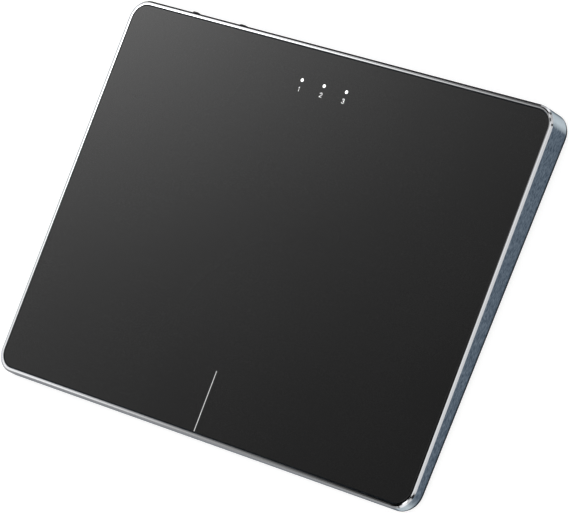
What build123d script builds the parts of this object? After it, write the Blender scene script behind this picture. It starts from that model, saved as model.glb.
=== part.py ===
from build123d import *

import math
import os

os.makedirs("parts", exist_ok=True)

# A wedge-shaped desk trackpad. Millimetres. The origin lies on the desk under the middle of the
# frame, +X to the user's right, +Y away from the user, +Z up. A piece of the sloping top is drawn
# flat, with z = 0 on the top surface and depths counted down from there, and then laid on TOP.

# Frame
WIDTH = 160.0
DEPTH = 117.8
BACK_WALL = 8.3
FRONT_WALL = 3.75
CORNER_RADIUS = 6.2
LIP_WIDTH = 0.32
INNER_BEVEL_WIDTH = 0.36
INNER_BEVEL_DROP = 0.10
OUTER_BEVEL_WIDTH = 0.52
OUTER_BEVEL_DROP = 0.28
WALL_FOOT_CHAMFER = 0.3
LEDGE_WIDTH = 5.6
LEDGE_WINDOW_RADIUS = 2.0

# Underside
FOOT_PROUD = 0.6
FOOT_RADIUS = 5.5
FOOT_RECESS = 0.5
FOOT_INSET = 14.0
FOOT_EDGE = 0.2
COVER_THICKNESS = 1.2
COVER_DROP = 0.9
COVER_EDGE = 0.4
COVER_GAP = 0.15
COVER_LAP = 0.37
SCREW_RADIUS = 0.8
SCREW_HEAD_RADIUS = 1.7
SCREW_BITE = 1.8
SCREW_INSET = 2.8
SCREW_CORNER_INSET = 7.0
BOSS_RADIUS = 2.5
DRIVE_WIDTH = 0.5
DRIVE_DEPTH = 0.3

# Layers of the click plate, from the top down
GLASS_THICKNESS = 0.7
GLASS_GAP = 0.3
GLASS_EDGE = 0.12
ADHESIVE_THICKNESS = 0.1
ADHESIVE_INSET = 0.8
TOUCH_BOARD_THICKNESS = 0.6
PLATE_THICKNESS = 0.4
PLATE_GAP = 0.5
PLATE_CORNER_RADIUS = 1.5

# Lights
LIGHT_PITCH = 8.45
LIGHT_FROM_BACK = 9.5
LIGHT_RADIUS = 0.5
LED_LENGTH = 1.6
LED_WIDTH = 0.9
LED_THICKNESS = 0.45
WINDOW_MARGIN = 0.6

# Click switch and its stop
SWITCH_FROM_FRONT = 11.7
SWITCH_SIZE = 5.2
SWITCH_HEIGHT = 0.7
SWITCH_ROOF = 0.1
PLUNGER_RADIUS = 1.1
PLUNGER_ROOT = 0.25
CLICK_TRAVEL = 0.3
PLUNGER_SPARE = 0.2
CONTACT_GAP = 0.03
ADJUST_HEAD_RADIUS = 1.6
ADJUST_HEAD_HEIGHT = 0.4
ADJUST_SHANK_RADIUS = 0.8
CLICK_POST_RADIUS = 2.6
STOP_PAD_THICKNESS = 0.2
STOP_PAD_LENGTH = 18.0
STOP_PAD_WIDTH = 3.0

# Hinge leaves and front hooks
LEAF_EDGE = 0.7
LEAF_WIDTH = 10.0
LEAF_THICKNESS = 0.2
LEAF_FREE = 6.5
LEAF_HOLD = 5.6
LEAF_WINDOW = 4.0
LEAF_FIX_PITCH = 5.0
LEAF_FIX_RADIUS = 0.6
LEAF_HEAD_RADIUS = 1.1
LEAF_HEAD_HEIGHT = 0.35
HOOK_INSET = 27.7
HOOK_WIDTH = 12.0
HOOK_REACH = 3.0
HOOK_ROOT = 3.0

# Parts on the touch board's underside
CONTROLLER_ASIDE = 16.0
CONTROLLER_AHEAD = 15.0
CONTROLLER_SIZE = 6.0
CONTROLLER_HEIGHT = 0.8
FLEX_INSET = 11.0
FLEX_RUN = 9.5
FLEX_WIDTH = 8.0
FLEX_THICKNESS = 0.15
FLEX_RADIUS = 1.0
FLEX_LEAD = 2.0
SOCKET_WIDTH = 10.0
SOCKET_DEPTH = 3.5
SOCKET_HEIGHT = 1.2
SOCKET_SLOT = 0.85
SLOT_LENGTH = 24.0
SLOT_WIDTH = 6.0
SLOT_INSET = 24.6

# Battery
BATTERY_WIDTH = 70.0
BATTERY_DEPTH = 36.0
BATTERY_THICKNESS = 2.6
BATTERY_EDGE = 1.0
LEAD_ROOM = 7.5
TAPE_THICKNESS = 0.15
TAPE_INSET = 4.0
PROTECTION_INSET = 20.0
PROTECTION_LENGTH = BATTERY_WIDTH - 2 * PROTECTION_INSET
PROTECTION_DEPTH = 3.5
PROTECTION_HEIGHT = 1.4
RIB_THICKNESS = 0.8
RIB_HEIGHT = 1.2
RIB_LENGTH = 50.0
WIRE_RADIUS = 0.4
WIRE_PITCH = 1.2
WIRE_BEND = 1.5

# Main board
BOARD_SIDE_GAP = 10.8
BOARD_RIGHT = 20.0
BOARD_DEPTH = 17.0
BOARD_THICKNESS = 0.8
BOARD_BACK_GAP = 1.2
BOARD_CORNER = 1.0
BOARD_SCREW_INSET = 3.5
BACK_SCREW_GAP = 3.0
BOARD_POST_RADIUS = 2.0
BOARD_SCREW_HEAD_RADIUS = 1.5
BOARD_SCREW_HEAD_HEIGHT = 0.6
BOARD_SCREW_LENGTH = 2.0
PLUG_GAP = 4.0
PLUG_WIDTH = 5.0
PLUG_DEPTH = 2.6
PLUG_HEIGHT = 1.4
BATTERY_SOCKET_WIDTH = 6.2
BATTERY_SOCKET_DEPTH = 3.6
BATTERY_SOCKET_HEIGHT = 1.8
CAN_INSET = 32.5
CAN_WIDTH = 13.0
CAN_DEPTH = 10.0
CAN_HEIGHT = 1.6
CAN_WALL = 0.2
CAN_FRONT_GAP = 5.0
CHIP_SIZE = 5.0
CHIP_HEIGHT = 0.8
CHARGER_INSET = 21.0
CHARGER_FRONT_GAP = 5.0
ANTENNA_INSET = 6.5
ANTENNA_LENGTH = 7.0
ANTENNA_WIDTH = 2.0
ANTENNA_HEIGHT = 1.0
ANTENNA_BACK_GAP = 1.5

# Controls and socket in the back wall, all on one height
CONTROL_HEIGHT = 4.2
USB_WIDTH = 8.94
USB_HEIGHT = 3.16
USB_LENGTH = 7.35
USB_WALL = 0.3
USB_CLEAR = 0.2
USB_SETBACK = 0.2
TONGUE_WIDTH = 6.69
TONGUE_THICKNESS = 0.7
TONGUE_LENGTH = 4.6
POWER_INSET = 9.2
NUB_WIDTH = 2.2
NUB_HEIGHT = 1.9
NUB_PROUD = 1.0
NUB_ROUND = 0.6
NUB_CLEAR = 0.15
SLIDE_TRAVEL = 2.0
NECK_WIDTH = 1.4
NECK_HEIGHT = 1.0
CARRIAGE_WIDTH = 3.2
CARRIAGE_DEPTH = 1.2
CARRIAGE_HEIGHT = 1.6
POWER_BODY_WIDTH = 8.0
POWER_BODY_DEPTH = 3.2
POWER_BODY_HEIGHT = 2.9
POWER_SHELL = 0.8
PAIR_INSET = 28.3
BUTTON_RADIUS = 1.5
BUTTON_PROUD = 0.8
BUTTON_ROUND = 0.3
BUTTON_CLEAR = 0.1
BUTTON_FLANGE_RADIUS = 2.0
BUTTON_FLANGE = 0.6
BUTTON_TRAVEL = 0.25
PAIR_BODY_WIDTH = 4.5
PAIR_BODY_DEPTH = 2.4
PAIR_BODY_HEIGHT = 3.1
PAIR_PLUNGER_RADIUS = 0.7
PAIR_PLUNGER_ROOT = 0.5

# Clearances that many pieces share, and one overrun for every cut
FIT = 0.03
RUN = 0.05
OVERRUN = 1.0

# Heights over the desk
COVER_TOP = FOOT_PROUD + COVER_THICKNESS
WALL_BOTTOM = FOOT_PROUD + COVER_DROP
TOP_HEIGHT = WALL_BOTTOM + (BACK_WALL + FRONT_WALL) / 2
CONTROL_Z = WALL_BOTTOM + CONTROL_HEIGHT
BOARD_TOP = CONTROL_Z - USB_HEIGHT / 2
BOARD_BOTTOM = BOARD_TOP - BOARD_THICKNESS

# The sloping top: its angle, its own depth along the slope, and where it lies
TILT = math.atan2(BACK_WALL - FRONT_WALL, DEPTH)
TOP = Location((0, 0, TOP_HEIGHT), (math.degrees(TILT), 0, 0))
SLOPE_DEPTH = DEPTH / math.cos(TILT)

# Depths of the layers below the top surface
GLASS_BOTTOM = GLASS_THICKNESS
BOARD_FACE = GLASS_BOTTOM + ADHESIVE_THICKNESS
BOARD_BACK = BOARD_FACE + TOUCH_BOARD_THICKNESS
PLATE_FACE = BOARD_BACK + ADHESIVE_THICKNESS
PLATE_BACK = PLATE_FACE + PLATE_THICKNESS
LEAF_BACK = PLATE_BACK + LEAF_THICKNESS
SWITCH_BACK = BOARD_BACK + SWITCH_HEIGHT
PLUNGER_TIP = SWITCH_BACK + CLICK_TRAVEL + PLUNGER_SPARE
STOP_TOP = PLUNGER_TIP + CONTACT_GAP

# Plan sizes
WALL = LIP_WIDTH + INNER_BEVEL_WIDTH + OUTER_BEVEL_WIDTH
INNER_WIDTH = WIDTH - 2 * WALL
INNER_DEPTH = DEPTH - 2 * WALL
INNER_RADIUS = CORNER_RADIUS - WALL
POCKET_DEPTH = SLOPE_DEPTH - 2 * WALL
GLASS_WIDTH = INNER_WIDTH - 2 * GLASS_GAP
GLASS_DEPTH = POCKET_DEPTH - 2 * GLASS_GAP
WINDOW_WIDTH = INNER_WIDTH - 2 * LEDGE_WIDTH
WINDOW_DEPTH = POCKET_DEPTH - 2 * LEDGE_WIDTH
PLATE_WIDTH = WINDOW_WIDTH - 2 * PLATE_GAP
PLATE_DEPTH = WINDOW_DEPTH - 2 * PLATE_GAP
BACK_INSIDE = DEPTH / 2 - WALL
FOOT_X = WIDTH / 2 - FOOT_INSET
FOOT_Y = DEPTH / 2 - FOOT_INSET

# Places along the slope
LIGHT_Y = GLASS_DEPTH / 2 - LIGHT_FROM_BACK
SWITCH_Y = SWITCH_FROM_FRONT - GLASS_DEPTH / 2
LEAF_BACK_Y = WINDOW_DEPTH / 2
LEAF_FRONT_Y = LEAF_BACK_Y - LEAF_FREE
HINGE_Y = (LEAF_BACK_Y + LEAF_FRONT_Y) / 2
LEAF_X = PLATE_WIDTH / 2 - LEAF_EDGE - LEAF_WIDTH / 2
HOOK_X = PLATE_WIDTH / 2 - HOOK_INSET
SLOT_Y = PLATE_DEPTH / 2 - SLOT_INSET
GLASS_DROP = CLICK_TRAVEL * (HINGE_Y + GLASS_DEPTH / 2) / (HINGE_Y - SWITCH_Y)
LEDGE_FACE = GLASS_BOTTOM + GLASS_DROP + CONTACT_GAP + STOP_PAD_THICKNESS

# The click post stands square to the slope, from the middle of the cover up to its screw's head
POST_SEAT = STOP_TOP + ADJUST_HEAD_HEIGHT
POST_ROOT = TOP_HEIGHT + SWITCH_Y * math.sin(TILT) - COVER_TOP + COVER_THICKNESS / 2

# Places of the main board and of what stands on it
BOARD_LEFT = BOARD_SIDE_GAP - INNER_WIDTH / 2
BOARD_WIDTH = BOARD_RIGHT - BOARD_LEFT
BOARD_X = (BOARD_LEFT + BOARD_RIGHT) / 2
BOARD_REAR = BACK_INSIDE - BOARD_BACK_GAP
BOARD_FRONT = BOARD_REAR - BOARD_DEPTH
POWER_X = BOARD_LEFT + POWER_INSET
PAIR_X = BOARD_LEFT + PAIR_INSET
CHARGER_X = BOARD_LEFT + CHARGER_INSET
ANTENNA_X = BOARD_RIGHT - ANTENNA_INSET
CAN_X = BOARD_RIGHT - CAN_INSET
BACK_SCREW_X = CAN_X - CAN_WIDTH / 2 - BACK_SCREW_GAP
PLUG_X = BACK_SCREW_X - PLUG_GAP
FLEX_X = BOARD_RIGHT - FLEX_INSET
TOUCH_SOCKET_Y = BOARD_FRONT - FLEX_RUN
CONTROLLER_X = FLEX_X + CONTROLLER_ASIDE
CONTROLLER_Y = TOUCH_SOCKET_Y - CONTROLLER_AHEAD
BOARD_SCREWS = [
    (BOARD_LEFT + BOARD_SCREW_INSET, BOARD_FRONT + BOARD_SCREW_INSET),
    (BOARD_RIGHT - BOARD_SCREW_INSET, BOARD_FRONT + BOARD_SCREW_INSET),
    (BACK_SCREW_X, BOARD_REAR - BOARD_SCREW_INSET),
]

# The battery lies in front of the board, with room for its lead between them
BATTERY_REAR = BOARD_FRONT - LEAD_ROOM
BATTERY_Y = BATTERY_REAR - BATTERY_DEPTH / 2
BATTERY_BASE = COVER_TOP + TAPE_THICKNESS
PLUG_REAR = BOARD_FRONT
WIRE_Z = COVER_TOP + PROTECTION_HEIGHT / 2
PLUG_Z = BOARD_TOP + BATTERY_SOCKET_HEIGHT / 2

# Where the moving parts of the two switches stop towards the back wall
POWER_CARRIAGE_REAR = BOARD_REAR - POWER_SHELL
PAIR_BODY_REAR = BACK_INSIDE - CONTACT_GAP - BUTTON_FLANGE - 2 * BUTTON_TRAVEL


def sheet(width, depth, radius, low, high):
    """A rounded rectangle centred on the origin, from one height to another."""
    return Pos(0, 0, low) * extrude(RectangleRounded(width, depth, radius), high - low)


def block(x, y, width, depth, low, high):
    return Pos(x, y, (low + high) / 2) * Box(width, depth, high - low)


def peg(x, y, radius, low, high):
    return Pos(x, y, (low + high) / 2) * Cylinder(radius, high - low)


def along_back(x, z, profile, near, far):
    """A profile in the plane of the back wall, drawn from one place along Y to another."""
    upright = Plane(origin=(x, near, z), x_dir=(-1, 0, 0), z_dir=(0, 1, 0))
    return extrude(upright * profile, far - near)


def above(depth):
    """All the space higher than a layer's depth under the sloping top."""
    size = 2 * (WIDTH + DEPTH)
    return TOP * Pos(0, 0, size / 2 - depth) * Box(size, size, size)


def mirrored(places):
    """Each (x, y) with its twin on the other side of the middle."""
    return [(side * x, y) for x, y in places for side in (-1, 1)]


def save(name, *shapes):
    whole = shapes[0] if len(shapes) == 1 else Compound(children=list(shapes))
    export_step(whole, "parts/" + name + ".step")


# Where the cover's screws stand
SCREW_X = WIDTH / 2 - WALL - SCREW_INSET
SCREW_Y = DEPTH / 2 - WALL - SCREW_CORNER_INSET
COVER_SCREWS = mirrored([(SCREW_X, -SCREW_Y), (SCREW_X, 0), (SCREW_X, SCREW_Y)])


def frame_blank():
    """The outer block: upright walls, a sloping top, and a rim cut by two bevels."""
    walls = sheet(WIDTH, DEPTH, CORNER_RADIUS, WALL_BOTTOM, WALL_BOTTOM + BACK_WALL + OVERRUN)
    walls -= above(0)
    rim_drop = INNER_BEVEL_DROP + OUTER_BEVEL_DROP
    slope = math.atan2(OUTER_BEVEL_DROP, OUTER_BEVEL_WIDTH)
    reach = rim_drop / math.tan(slope)
    top = walls.faces().sort_by_distance((0, 0, TOP_HEIGHT))[0]
    walls = chamfer(top.edges(), reach, rim_drop, reference=top)
    top = walls.faces().sort_by_distance((0, 0, TOP_HEIGHT))[0]
    flat = INNER_BEVEL_WIDTH + OUTER_BEVEL_WIDTH - reach
    walls = chamfer(top.edges(), flat, INNER_BEVEL_DROP / math.sin(slope), reference=top)
    base = walls.faces().sort_by(Axis.Z)[0]
    return chamfer(base.edges(), WALL_FOOT_CHAMFER)


def frame():
    """Walls and rim round an inner ledge, with screw bosses under it and slots in the back."""
    body = frame_blank()
    pocket = sheet(INNER_WIDTH, POCKET_DEPTH, INNER_RADIUS, -LEDGE_FACE, OVERRUN)
    window = sheet(WINDOW_WIDTH, WINDOW_DEPTH, LEDGE_WINDOW_RADIUS, -BACK_WALL - OVERRUN, OVERRUN)
    cavity = sheet(
        INNER_WIDTH, INNER_DEPTH, INNER_RADIUS, WALL_BOTTOM - OVERRUN, WALL_BOTTOM + BACK_WALL
    )
    for x, y in COVER_SCREWS:
        side = math.copysign(1, x)
        web = block(
            x + side * SCREW_INSET / 2, y, SCREW_INSET, 2 * BOSS_RADIUS, COVER_TOP, TOP_HEIGHT * 2
        )
        cavity -= peg(x, y, BOSS_RADIUS, COVER_TOP, TOP_HEIGHT * 2) + web
    body -= TOP * pocket
    body -= TOP * window
    body -= cavity - above(PLATE_BACK)
    for x, y in COVER_SCREWS:
        body -= peg(x, y, SCREW_RADIUS + FIT, COVER_TOP - OVERRUN, COVER_TOP + SCREW_BITE + FIT)
    for x, y in leaf_screws():
        body -= TOP * peg(x, y, LEAF_FIX_RADIUS + FIT, -PLATE_BACK - OVERRUN, -LEDGE_FACE - FIT)
    near = BACK_INSIDE - OVERRUN
    far = DEPTH / 2 + OVERRUN
    usb = SlotOverall(USB_WIDTH + 2 * USB_CLEAR, USB_HEIGHT + 2 * USB_CLEAR)
    slot = RectangleRounded(
        NUB_WIDTH + SLIDE_TRAVEL + 2 * NUB_CLEAR, NUB_HEIGHT + 2 * NUB_CLEAR, NUB_ROUND
    )
    hole = Circle(BUTTON_RADIUS + BUTTON_CLEAR)
    body -= along_back(0, CONTROL_Z, usb, near, far)
    body -= along_back(POWER_X + SLIDE_TRAVEL / 2, CONTROL_Z, slot, near, far)
    body -= along_back(PAIR_X, CONTROL_Z, hole, near, far)
    return body


def leaf_screws():
    y = LEAF_BACK_Y + LEAF_HOLD / 2
    half = LEAF_FIX_PITCH / 2
    return mirrored([(LEAF_X - half, y), (LEAF_X + half, y)])


def leaf_rivets():
    y = LEAF_FRONT_Y - LEAF_HOLD / 2
    half = LEAF_FIX_PITCH / 2
    return mirrored([(LEAF_X - half, y), (LEAF_X + half, y)])


def base_cover():
    """The floor of the body, with a flange under the walls, posts for the board, and ribs."""
    width = INNER_WIDTH - 2 * COVER_GAP
    depth = INNER_DEPTH - 2 * COVER_GAP
    cover = sheet(width, depth, INNER_RADIUS - COVER_GAP, FOOT_PROUD, COVER_TOP)
    cover = chamfer(cover.faces().sort_by(Axis.Z)[0].edges(), COVER_EDGE)
    cover += sheet(
        WIDTH - 2 * WALL_FOOT_CHAMFER,
        DEPTH - 2 * WALL_FOOT_CHAMFER,
        CORNER_RADIUS - WALL_FOOT_CHAMFER,
        WALL_BOTTOM - COVER_LAP,
        WALL_BOTTOM,
    )
    for x, y in mirrored([(FOOT_X, -FOOT_Y), (FOOT_X, FOOT_Y)]):
        cover -= peg(x, y, FOOT_RADIUS + RUN, FOOT_PROUD - OVERRUN, FOOT_PROUD + FOOT_RECESS)
    for x, y in COVER_SCREWS:
        cover -= peg(x, y, SCREW_RADIUS + RUN, FOOT_PROUD - OVERRUN, COVER_TOP + OVERRUN)
        cover -= countersink(x, y, RUN)
    for x, y in BOARD_SCREWS:
        cover += peg(x, y, BOARD_POST_RADIUS, COVER_TOP, BOARD_BOTTOM)
        low = BOARD_TOP - BOARD_SCREW_LENGTH - FIT
        cover -= peg(x, y, SCREW_RADIUS + FIT, low, BOARD_TOP)
    rib_x = BATTERY_WIDTH / 2 + RUN + RIB_THICKNESS / 2
    for x, y in mirrored([(rib_x, BATTERY_Y)]):
        cover += block(x, y, RIB_THICKNESS, BATTERY_DEPTH, COVER_TOP, COVER_TOP + RIB_HEIGHT)
    front = BATTERY_Y - BATTERY_DEPTH / 2 - RUN - RIB_THICKNESS / 2
    cover += block(0, front, RIB_LENGTH, RIB_THICKNESS, COVER_TOP, COVER_TOP + RIB_HEIGHT)
    cover += TOP * peg(0, SWITCH_Y, CLICK_POST_RADIUS, -POST_ROOT, -POST_SEAT)
    bore = peg(0, SWITCH_Y, ADJUST_SHANK_RADIUS + FIT, -POST_ROOT - FIT, OVERRUN - POST_SEAT)
    return cover - TOP * bore


def click_adjust_screw():
    """The screw that the click switch's plunger presses on, square to the sloping top."""
    screw = peg(0, SWITCH_Y, ADJUST_HEAD_RADIUS, -POST_SEAT, -STOP_TOP)
    return TOP * (screw + peg(0, SWITCH_Y, ADJUST_SHANK_RADIUS, -POST_ROOT, -POST_SEAT))


def countersink(x, y, clear):
    """The cone of a flat screw head whose face is level with the cover's underside."""
    height = SCREW_HEAD_RADIUS - SCREW_RADIUS
    cone = Cone(SCREW_HEAD_RADIUS + clear, SCREW_RADIUS + clear, height)
    return Pos(x, y, FOOT_PROUD + height / 2) * cone


def drive_slot(x, y, radius, face, inward):
    """A straight slot cut into a screw's face, inward being +1 or -1 along Z."""
    middle = face + inward * (DRIVE_DEPTH - OVERRUN) / 2
    return Pos(x, y, middle) * Box(2 * radius, DRIVE_WIDTH, DRIVE_DEPTH + OVERRUN)


def base_screws():
    screws = []
    for x, y in COVER_SCREWS:
        screw = countersink(x, y, 0)
        screw += peg(x, y, SCREW_RADIUS, FOOT_PROUD, COVER_TOP + SCREW_BITE)
        screws.append(screw - drive_slot(x, y, SCREW_HEAD_RADIUS, FOOT_PROUD, 1))
    return screws


def foot(x, y):
    pad = peg(x, y, FOOT_RADIUS, 0, FOOT_PROUD + FOOT_RECESS)
    return chamfer(pad.faces().sort_by(Axis.Z)[0].edges(), FOOT_EDGE)


# The click plate, drawn flat


def layer(width, depth, face, back, inset):
    radius = PLATE_CORNER_RADIUS
    return sheet(width - 2 * inset, depth - 2 * inset, radius, -back, -face)


def light_places():
    return [(step * LIGHT_PITCH, LIGHT_Y) for step in (-1, 0, 1)]


def windows():
    """The openings through the plate and its adhesive for what hangs under the touch board."""
    room = 2 * WINDOW_MARGIN
    low = -PLATE_BACK - OVERRUN
    cuts = [
        block(x, y, LED_LENGTH + room, LED_WIDTH + room, low, -BOARD_BACK)
        for x, y in light_places()
    ]
    size = CONTROLLER_SIZE + room
    cuts.append(block(CONTROLLER_X, CONTROLLER_Y, size, size, low, -BOARD_BACK))
    width = SOCKET_WIDTH + room
    cuts.append(block(FLEX_X, TOUCH_SOCKET_Y, width, SOCKET_DEPTH + room, low, -BOARD_BACK))
    size = SWITCH_SIZE + room
    cuts.append(block(0, SWITCH_Y, size, size, low, -BOARD_BACK))
    return cuts


def glass_panel():
    radius = INNER_RADIUS - GLASS_GAP
    glass = sheet(GLASS_WIDTH, GLASS_DEPTH, radius, -GLASS_BOTTOM, 0)
    return TOP * chamfer(glass.faces().sort_by(Axis.Z)[-1].edges(), GLASS_EDGE)


def glass_adhesive():
    film = layer(PLATE_WIDTH, PLATE_DEPTH, GLASS_BOTTOM, BOARD_FACE, ADHESIVE_INSET)
    for x, y in light_places():
        film -= peg(x, y, LIGHT_RADIUS + RUN, -BOARD_BACK, 0)
    return TOP * film


def touch_board():
    board = layer(PLATE_WIDTH, PLATE_DEPTH, BOARD_FACE, BOARD_BACK, 0)
    for x, y in light_places():
        board -= peg(x, y, LIGHT_RADIUS + RUN, -BOARD_BACK - OVERRUN, 0)
    return TOP * board


def leaf_notches(low):
    """The corners that the plate gives up so that the hinge leaves can bend."""
    inner = LEAF_X - LEAF_WIDTH / 2 - WINDOW_MARGIN
    width = WIDTH / 2 - inner
    depth = WINDOW_DEPTH / 2 + OVERRUN - LEAF_FRONT_Y
    x = inner + width / 2
    return [
        block(side * x, LEAF_FRONT_Y + depth / 2, width, depth, low, 0) for side in (-1, 1)
    ]


def plate_adhesive():
    film = layer(PLATE_WIDTH, PLATE_DEPTH, BOARD_BACK, PLATE_FACE, ADHESIVE_INSET)
    for cut in windows() + leaf_notches(-PLATE_FACE - OVERRUN):
        film -= cut
    return TOP * film


def stiffener_plate():
    """The steel plate: windows, lightening slots, and front hooks that catch under the ledge."""
    plate = layer(PLATE_WIDTH, PLATE_DEPTH, PLATE_FACE, PLATE_BACK, 0)
    for cut in windows() + leaf_notches(-PLATE_BACK - OVERRUN):
        plate -= cut
    for row in (-1, 1):
        for column in (-1, 1):
            slot = SlotOverall(SLOT_LENGTH, SLOT_WIDTH)
            place = Pos(column * HOOK_X, row * SLOT_Y, -PLATE_BACK - OVERRUN)
            plate -= place * extrude(slot, 2 * OVERRUN)
    for x, y in leaf_rivets():
        plate -= peg(x, y, LEAF_FIX_RADIUS + FIT, -PLATE_BACK - OVERRUN, 0)
    edge = -PLATE_DEPTH / 2
    low = PLATE_BACK + CONTACT_GAP + PLATE_THICKNESS
    for side in (-1, 1):
        x = side * HOOK_X
        plate += block(x, edge + HOOK_ROOT / 2, HOOK_WIDTH, HOOK_ROOT, -low, -PLATE_BACK)
        reach = PLATE_GAP + HOOK_REACH
        top = -PLATE_BACK - CONTACT_GAP
        plate += block(x, edge - reach / 2, HOOK_WIDTH, reach, -low, top)
    return TOP * plate


def indicator_diffusers():
    return [
        TOP * peg(x, y, LIGHT_RADIUS, -BOARD_BACK, -GLASS_BOTTOM) for x, y in light_places()
    ]


def indicator_leds():
    low = -BOARD_BACK - LED_THICKNESS
    return [TOP * block(x, y, LED_LENGTH, LED_WIDTH, low, -BOARD_BACK) for x, y in light_places()]


def touch_controller():
    low = -BOARD_BACK - CONTROLLER_HEIGHT
    size = CONTROLLER_SIZE
    return TOP * block(CONTROLLER_X, CONTROLLER_Y, size, size, low, -BOARD_BACK)


def socket():
    """A flat cable's socket, drawn standing on z = 0 with its slot open towards +Y."""
    body = block(0, 0, SOCKET_WIDTH, SOCKET_DEPTH, 0, SOCKET_HEIGHT)
    low = SOCKET_SLOT - FLEX_THICKNESS
    high = SOCKET_SLOT + FLEX_THICKNESS
    return body - block(0, SOCKET_DEPTH / 2, FLEX_WIDTH + 2 * RUN, SOCKET_DEPTH, low, high)


def touch_socket():
    return TOP * Pos(FLEX_X, TOUCH_SOCKET_Y, -BOARD_BACK) * Rot(0, 180, 0) * socket()


def click_switch_body():
    body = block(0, SWITCH_Y, SWITCH_SIZE, SWITCH_SIZE, -SWITCH_BACK, -BOARD_BACK)
    body -= peg(0, SWITCH_Y, PLUNGER_RADIUS + RUN, -SWITCH_BACK - OVERRUN, -BOARD_BACK - SWITCH_ROOF)
    return TOP * body


def click_plunger():
    return TOP * peg(0, SWITCH_Y, PLUNGER_RADIUS, -PLUNGER_TIP, PLUNGER_ROOT - SWITCH_BACK)


def hinge_spring(side):
    """A flat steel leaf: held under the ledge, free over a middle length, riveted to the plate."""
    front = LEAF_FRONT_Y - LEAF_HOLD
    back = LEAF_BACK_Y + LEAF_HOLD - GLASS_GAP - RUN
    middle = (front + back) / 2
    leaf = block(side * LEAF_X, middle, LEAF_WIDTH, back - front, -LEAF_BACK, -PLATE_BACK)
    leaf -= block(
        side * LEAF_X, HINGE_Y, LEAF_WINDOW, LEAF_FREE - PLATE_GAP, -LEAF_BACK - OVERRUN, 0
    )
    for x, y in leaf_screws() + leaf_rivets():
        leaf -= peg(x, y, LEAF_FIX_RADIUS + RUN, -LEAF_BACK - OVERRUN, 0)
    return TOP * leaf


def headed_pins(places, tip):
    """Pins whose heads lie under the leaf and whose shanks end at a depth under the top."""
    pins = []
    for x, y in places:
        pin = peg(x, y, LEAF_HEAD_RADIUS, -LEAF_BACK - LEAF_HEAD_HEIGHT, -LEAF_BACK)
        pins.append(TOP * (pin + peg(x, y, LEAF_FIX_RADIUS, -LEAF_BACK, -tip)))
    return pins


def stop_pads():
    y = STOP_PAD_WIDTH / 2 - POCKET_DEPTH / 2 + GLASS_GAP + RUN
    high = STOP_PAD_THICKNESS - LEDGE_FACE
    return [
        TOP * block(side * HOOK_X, y, STOP_PAD_LENGTH, STOP_PAD_WIDTH, -LEDGE_FACE, high)
        for side in (-1, 1)
    ]


# Battery and its lead


def battery_cell():
    """A pouch cell: a soft-edged slab with a folded seam along its two long sides."""
    base = BATTERY_BASE
    seam = block(0, BATTERY_Y, BATTERY_WIDTH, BATTERY_DEPTH, base, base + BATTERY_THICKNESS / 2)
    slab = block(
        0, BATTERY_Y, BATTERY_WIDTH - 2 * BATTERY_EDGE, BATTERY_DEPTH, base, base + BATTERY_THICKNESS
    )
    slab = fillet(slab.faces().sort_by(Axis.Z)[-1].edges(), BATTERY_EDGE)
    return slab + seam


def battery_tape():
    width = BATTERY_WIDTH - 2 * TAPE_INSET
    return block(0, BATTERY_Y, width, BATTERY_DEPTH - 2 * TAPE_INSET, COVER_TOP, BATTERY_BASE)


def battery_protection_board():
    y = BATTERY_REAR + PROTECTION_DEPTH / 2
    high = COVER_TOP + PROTECTION_HEIGHT
    return block(0, y, PROTECTION_LENGTH, PROTECTION_DEPTH, COVER_TOP, high)


def battery_leads():
    """Two wires side by side from the protection board to the plug on the main board."""
    wires = []
    start_x = -PROTECTION_LENGTH / 2
    end_y = PLUG_REAR - PLUG_DEPTH
    for step in (-1, 1):
        shift = step * WIRE_PITCH / 2
        y = BATTERY_REAR + PROTECTION_DEPTH / 2 + shift
        x = PLUG_X + shift
        points = [
            (start_x, y, WIRE_Z),
            ((start_x + x) / 2, y, WIRE_Z),
            (x, y, PLUG_Z),
            (x, end_y, PLUG_Z),
        ]
        bend = min(WIRE_BEND, (end_y - y) / 2)
        path = FilletPolyline(*points, radius=bend)
        profile = Plane(origin=points[0], z_dir=(-1, 0, 0)) * Circle(WIRE_RADIUS)
        wires.append(sweep(profile, path=path))
    return wires


def battery_plug():
    y = PLUG_REAR - PLUG_DEPTH / 2
    half = PLUG_HEIGHT / 2
    return block(PLUG_X, y, PLUG_WIDTH, PLUG_DEPTH, PLUG_Z - half, PLUG_Z + half)


def battery_socket():
    y = BOARD_FRONT + BATTERY_SOCKET_DEPTH / 2
    high = BOARD_TOP + BATTERY_SOCKET_HEIGHT
    return block(PLUG_X, y, BATTERY_SOCKET_WIDTH, BATTERY_SOCKET_DEPTH, BOARD_TOP, high)


# Main board and what stands on it


def main_board():
    outline = RectangleRounded(BOARD_WIDTH, BOARD_DEPTH, BOARD_CORNER)
    place = Pos(BOARD_X, (BOARD_FRONT + BOARD_REAR) / 2, BOARD_BOTTOM)
    board = place * extrude(outline, BOARD_THICKNESS)
    for x, y in BOARD_SCREWS:
        board -= peg(x, y, SCREW_RADIUS + RUN, BOARD_BOTTOM - OVERRUN, BOARD_TOP + OVERRUN)
    return board


def board_screws():
    screws = []
    for x, y in BOARD_SCREWS:
        top = BOARD_TOP + BOARD_SCREW_HEAD_HEIGHT
        screw = peg(x, y, BOARD_SCREW_HEAD_RADIUS, BOARD_TOP, top)
        screw += peg(x, y, SCREW_RADIUS, BOARD_TOP - BOARD_SCREW_LENGTH, BOARD_TOP)
        screws.append(screw - drive_slot(x, y, BOARD_SCREW_HEAD_RADIUS, top, -1))
    return screws


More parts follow.
